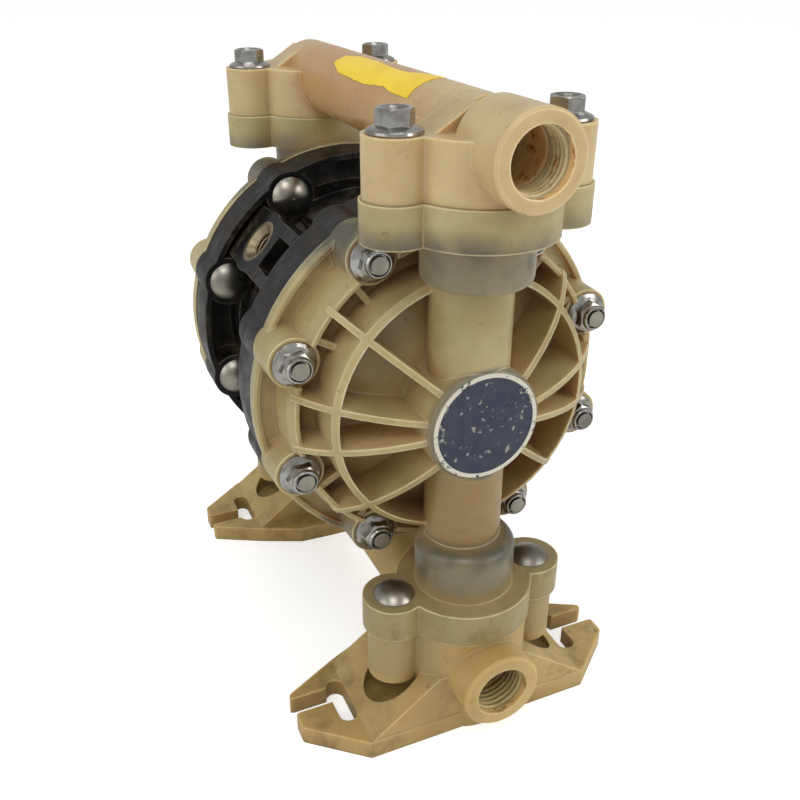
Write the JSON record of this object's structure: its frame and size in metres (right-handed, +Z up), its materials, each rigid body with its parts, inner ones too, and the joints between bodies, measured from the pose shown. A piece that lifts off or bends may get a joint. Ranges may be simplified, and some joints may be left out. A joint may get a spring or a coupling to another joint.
{
  "type": "air operated diaphragm pump",
  "caption": "Plastic air operated diaphragm pump with front and rear fluid covers, a threaded outlet manifold above, an inlet manifold with slotted feet below and a black centre housing.",
  "frame": {"origin": "midway between the feet, on the plane they stand on, straight below the middle of the diaphragm shaft", "axes": "+Z up; Y along the diaphragm shaft, with the badged cover at -Y; +X towards the air valve"},
  "size_m": [0.1897, 0.2777, 0.3054],
  "materials": {
    "natural_polypropylene": "yellowed, slightly translucent, satin",
    "black_polypropylene": "black, worn and dusty",
    "stainless_steel": "satin",
    "nickel_plated_brass": "dull",
    "ptfe": "smooth white",
    "badge_foil": "printed foil, worn",
    "nitrile_rubber": "matte black",
    "diaphragm_elastomer": "smooth",
    "aluminium": "satin",
    "acetal": "smooth white"
  },
  "bodies": {
    "pump_body": {"center_housing": "black_polypropylene", "fluid_cover_front": "natural_polypropylene", "fluid_cover_rear": "natural_polypropylene", "outlet_manifold": "natural_polypropylene", "inlet_manifold": "natural_polypropylene", "manifold_orings": "ptfe", "hub_badge": "badge_foil", "air_inlet_insert": "nickel_plated_brass", "muffler": "black_polypropylene", "inlet_valve_seat_front": "natural_polypropylene", "inlet_valve_seat_rear": "natural_polypropylene", "outlet_valve_seat_front": "natural_polypropylene", "outlet_valve_seat_rear": "natural_polypropylene", "inlet_ball_cage_front": "natural_polypropylene", "inlet_ball_cage_rear": "natural_polypropylene", "outlet_ball_cage_front": "natural_polypropylene", "outlet_ball_cage_rear": "natural_polypropylene", "cover_bolts": "stainless_steel", "cover_nuts": "stainless_steel", "outlet_manifold_bolts": "stainless_steel", "outlet_bolt_inserts": "stainless_steel", "inlet_manifold_bolts": "stainless_steel", "inlet_manifold_nuts": "stainless_steel", "air_valve_housing": "black_polypropylene", "air_valve_gasket": "nitrile_rubber", "air_valve_screws": "stainless_steel", "air_valve_cap_top": "black_polypropylene", "air_valve_cap_bottom": "black_polypropylene", "diaphragm_front": "diaphragm_elastomer", "diaphragm_rear": "diaphragm_elastomer", "shaft_bearings": "acetal", "shaft_seals": "nitrile_rubber", "pilot_bushes": "acetal"},
    "diaphragm_train": {"diaphragm_shaft": "stainless_steel", "air_plate_front": "aluminium", "air_plate_rear": "aluminium", "fluid_plate_front": "natural_polypropylene", "fluid_plate_rear": "natural_polypropylene"},
    "pilot": {"pilot_spool": "stainless_steel"},
    "main_spool": {"air_valve_spool": "aluminium"},
    "inlet_check_front": {"inlet_ball_front": "ptfe"},
    "inlet_check_rear": {"inlet_ball_rear": "ptfe"},
    "outlet_check_front": {"outlet_ball_front": "ptfe"},
    "outlet_check_rear": {"outlet_ball_rear": "ptfe"}
  },
  "joints": [
    {"name": "shaft_slide", "type": "slide", "parent": "pump_body", "child": "diaphragm_train", "axis": [0, 1, 0], "range_m": [-0.005, 0.005], "deforming": ["diaphragm_front", "diaphragm_rear"]},
    {"name": "pilot_slide", "type": "slide", "parent": "pump_body", "child": "pilot", "axis": [0, 1, 0], "range_m": [-0.002, 0.002]},
    {"name": "main_spool_slide", "type": "slide", "parent": "pump_body", "child": "main_spool", "axis": [0, 0, 1], "range_m": [0, 0.008]},
    {"name": "inlet_ball_front_lift", "type": "slide", "parent": "pump_body", "child": "inlet_check_front", "axis": [0, 0, 1], "range_m": [0, 0.004]},
    {"name": "inlet_ball_rear_lift", "type": "slide", "parent": "pump_body", "child": "inlet_check_rear", "axis": [0, 0, 1], "range_m": [0, 0.004]},
    {"name": "outlet_ball_front_lift", "type": "slide", "parent": "pump_body", "child": "outlet_check_front", "axis": [0, 0, 1], "range_m": [0, 0.004]},
    {"name": "outlet_ball_rear_lift", "type": "slide", "parent": "pump_body", "child": "outlet_check_rear", "axis": [0, 0, 1], "range_m": [0, 0.004]}
  ],
  "couplings": [
    {"joint": "pilot_slide", "follows": "shaft_slide", "ratio": 0.4}
  ]
}
